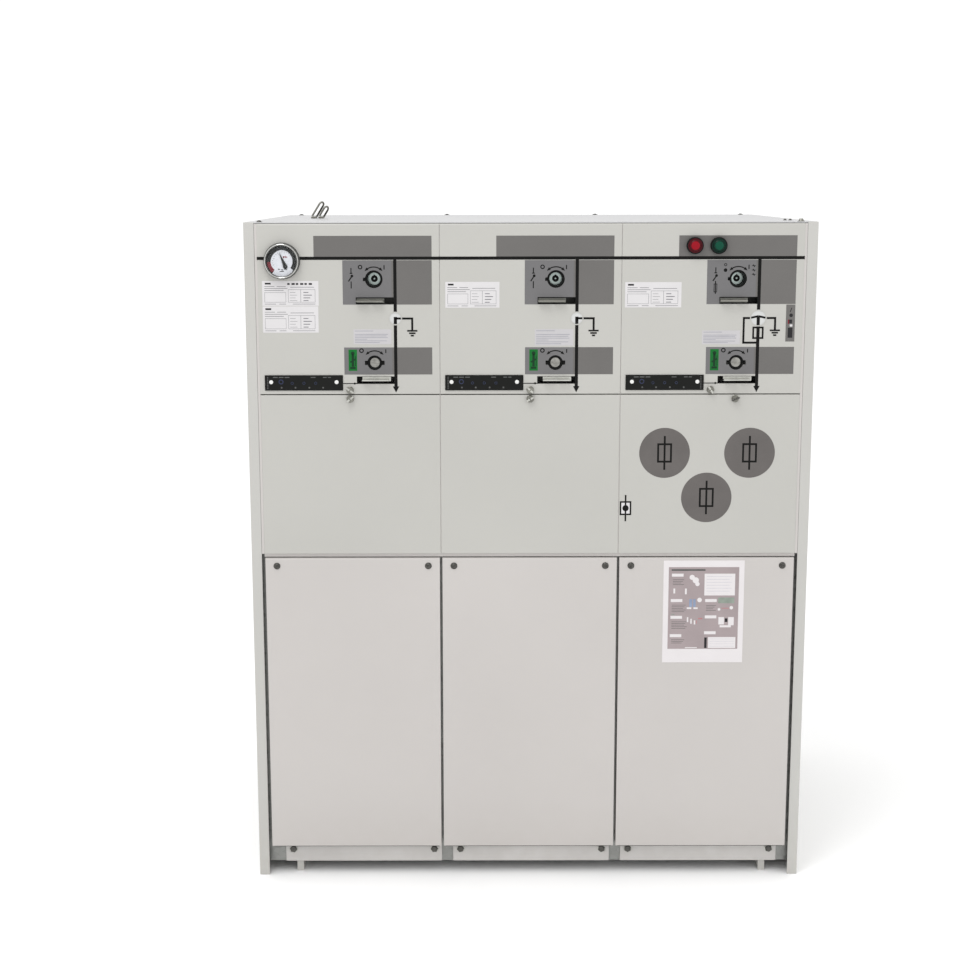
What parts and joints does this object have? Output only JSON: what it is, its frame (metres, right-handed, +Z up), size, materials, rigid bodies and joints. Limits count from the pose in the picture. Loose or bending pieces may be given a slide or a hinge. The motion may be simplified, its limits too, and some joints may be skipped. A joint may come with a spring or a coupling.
{
  "type": "gas-insulated ring main unit",
  "caption": "Floor-standing gas-insulated medium-voltage switch cabinet with cable-switch modules, a fuse-switch module, turning lever shafts, push buttons, a gas gauge and cable compartments.",
  "frame": {"origin": "on the floor under the middle of the cabinet, halfway between the side plates and between their front and rear flanges", "axes": "+X to the right of a person facing the front, +Y from the front to the rear, +Z up"},
  "size_m": [1.065, 0.779, 1.3137],
  "materials": {
    "painted_sheet": "satin",
    "roof_sheet": "satin",
    "dark_steel": "satin",
    "shaft_steel": "satin",
    "polished_steel": "polished",
    "galvanised_steel": "satin",
    "stainless_steel": "brushed",
    "cast_resin": "satin",
    "white_plastic": "satin",
    "black_plastic": "matte",
    "bright_zinc": "satin",
    "black_enamel": "satin",
    "clear_glass": "polished",
    "red_plastic": "gloss",
    "green_plastic": "gloss"
  },
  "bodies": {
    "cabinet": {"side_plate_left": "painted_sheet", "side_plate_right": "painted_sheet", "roof_plate": "roof_sheet", "rear_cover": "painted_sheet", "base_strips": "painted_sheet", "upper_panel_1": "painted_sheet", "upper_panel_2": "painted_sheet", "upper_panel_3": "painted_sheet", "middle_cover_1": "painted_sheet", "middle_cover_2": "painted_sheet", "middle_cover_3": "painted_sheet", "cable_cover_1": "painted_sheet", "cable_cover_2": "painted_sheet", "cable_cover_3": "painted_sheet", "operating_mechanism_1": "dark_steel", "operating_mechanism_2": "dark_steel", "operating_mechanism_3": "dark_steel", "base_frame": "galvanised_steel", "floor_runners": "painted_sheet", "gas_tank": "stainless_steel", "tank_top": "stainless_steel", "front_frame": "galvanised_steel", "partitions": "galvanised_steel", "cable_bushings": "cast_resin", "position_indicators": "white_plastic", "voltage_indicators": "black_plastic", "padlock_plates_upper": "bright_zinc", "padlock_plates_lower": "bright_zinc", "gauge_case": "polished_steel", "gauge_dial": "white_plastic", "gauge_glass": "clear_glass", "button_bezels": "black_plastic", "captive_screws": "dark_steel", "lifting_loops": "dark_steel"},
    "switch_shaft_1": {"upper_shaft_1": "shaft_steel"},
    "switch_shaft_2": {"upper_shaft_2": "shaft_steel"},
    "switch_shaft_3": {"upper_shaft_3": "shaft_steel"},
    "earthing_shaft_1": {"lower_shaft_1": "polished_steel"},
    "earthing_shaft_2": {"lower_shaft_2": "polished_steel"},
    "earthing_shaft_3": {"lower_shaft_3": "polished_steel"},
    "red_push_button": {"red_button": "red_plastic"},
    "green_push_button": {"green_button": "green_plastic"},
    "needle": {"gauge_needle": "black_enamel"}
  },
  "joints": [
    {"name": "switch_shaft_turn_1", "type": "hinge", "parent": "cabinet", "child": "switch_shaft_1", "pos_m": [-0.292, -0.3225, 1.175], "axis": [0, 1, 0], "range_deg": [0, 90]},
    {"name": "switch_shaft_turn_2", "type": "hinge", "parent": "cabinet", "child": "switch_shaft_2", "pos_m": [0.047, -0.3225, 1.175], "axis": [0, 1, 0], "range_deg": [0, 90]},
    {"name": "switch_shaft_turn_3", "type": "hinge", "parent": "cabinet", "child": "switch_shaft_3", "pos_m": [0.386, -0.3225, 1.175], "axis": [0, 1, 0], "range_deg": [0, 90]},
    {"name": "earthing_shaft_turn_1", "type": "hinge", "parent": "cabinet", "child": "earthing_shaft_1", "pos_m": [-0.292, -0.3225, 1.019], "axis": [0, 1, 0], "range_deg": [-90, 0]},
    {"name": "earthing_shaft_turn_2", "type": "hinge", "parent": "cabinet", "child": "earthing_shaft_2", "pos_m": [0.047, -0.3225, 1.019], "axis": [0, 1, 0], "range_deg": [-90, 0]},
    {"name": "earthing_shaft_turn_3", "type": "hinge", "parent": "cabinet", "child": "earthing_shaft_3", "pos_m": [0.386, -0.3225, 1.019], "axis": [0, 1, 0], "range_deg": [-90, 0]},
    {"name": "red_button_press", "type": "slide", "parent": "cabinet", "child": "red_push_button", "axis": [0, 1, 0], "range_m": [0, 0.004], "stiffness_N_per_m": 300},
    {"name": "green_button_press", "type": "slide", "parent": "cabinet", "child": "green_push_button", "axis": [0, 1, 0], "range_m": [0, 0.004], "stiffness_N_per_m": 300},
    {"name": "gauge_needle_turn", "type": "hinge", "parent": "cabinet", "child": "needle", "pos_m": [-0.455, -0.3895, 1.199], "axis": [0, 1, 0], "range_deg": [-70, 45], "stiffness_Nm_per_rad": 0.002}
  ]
}
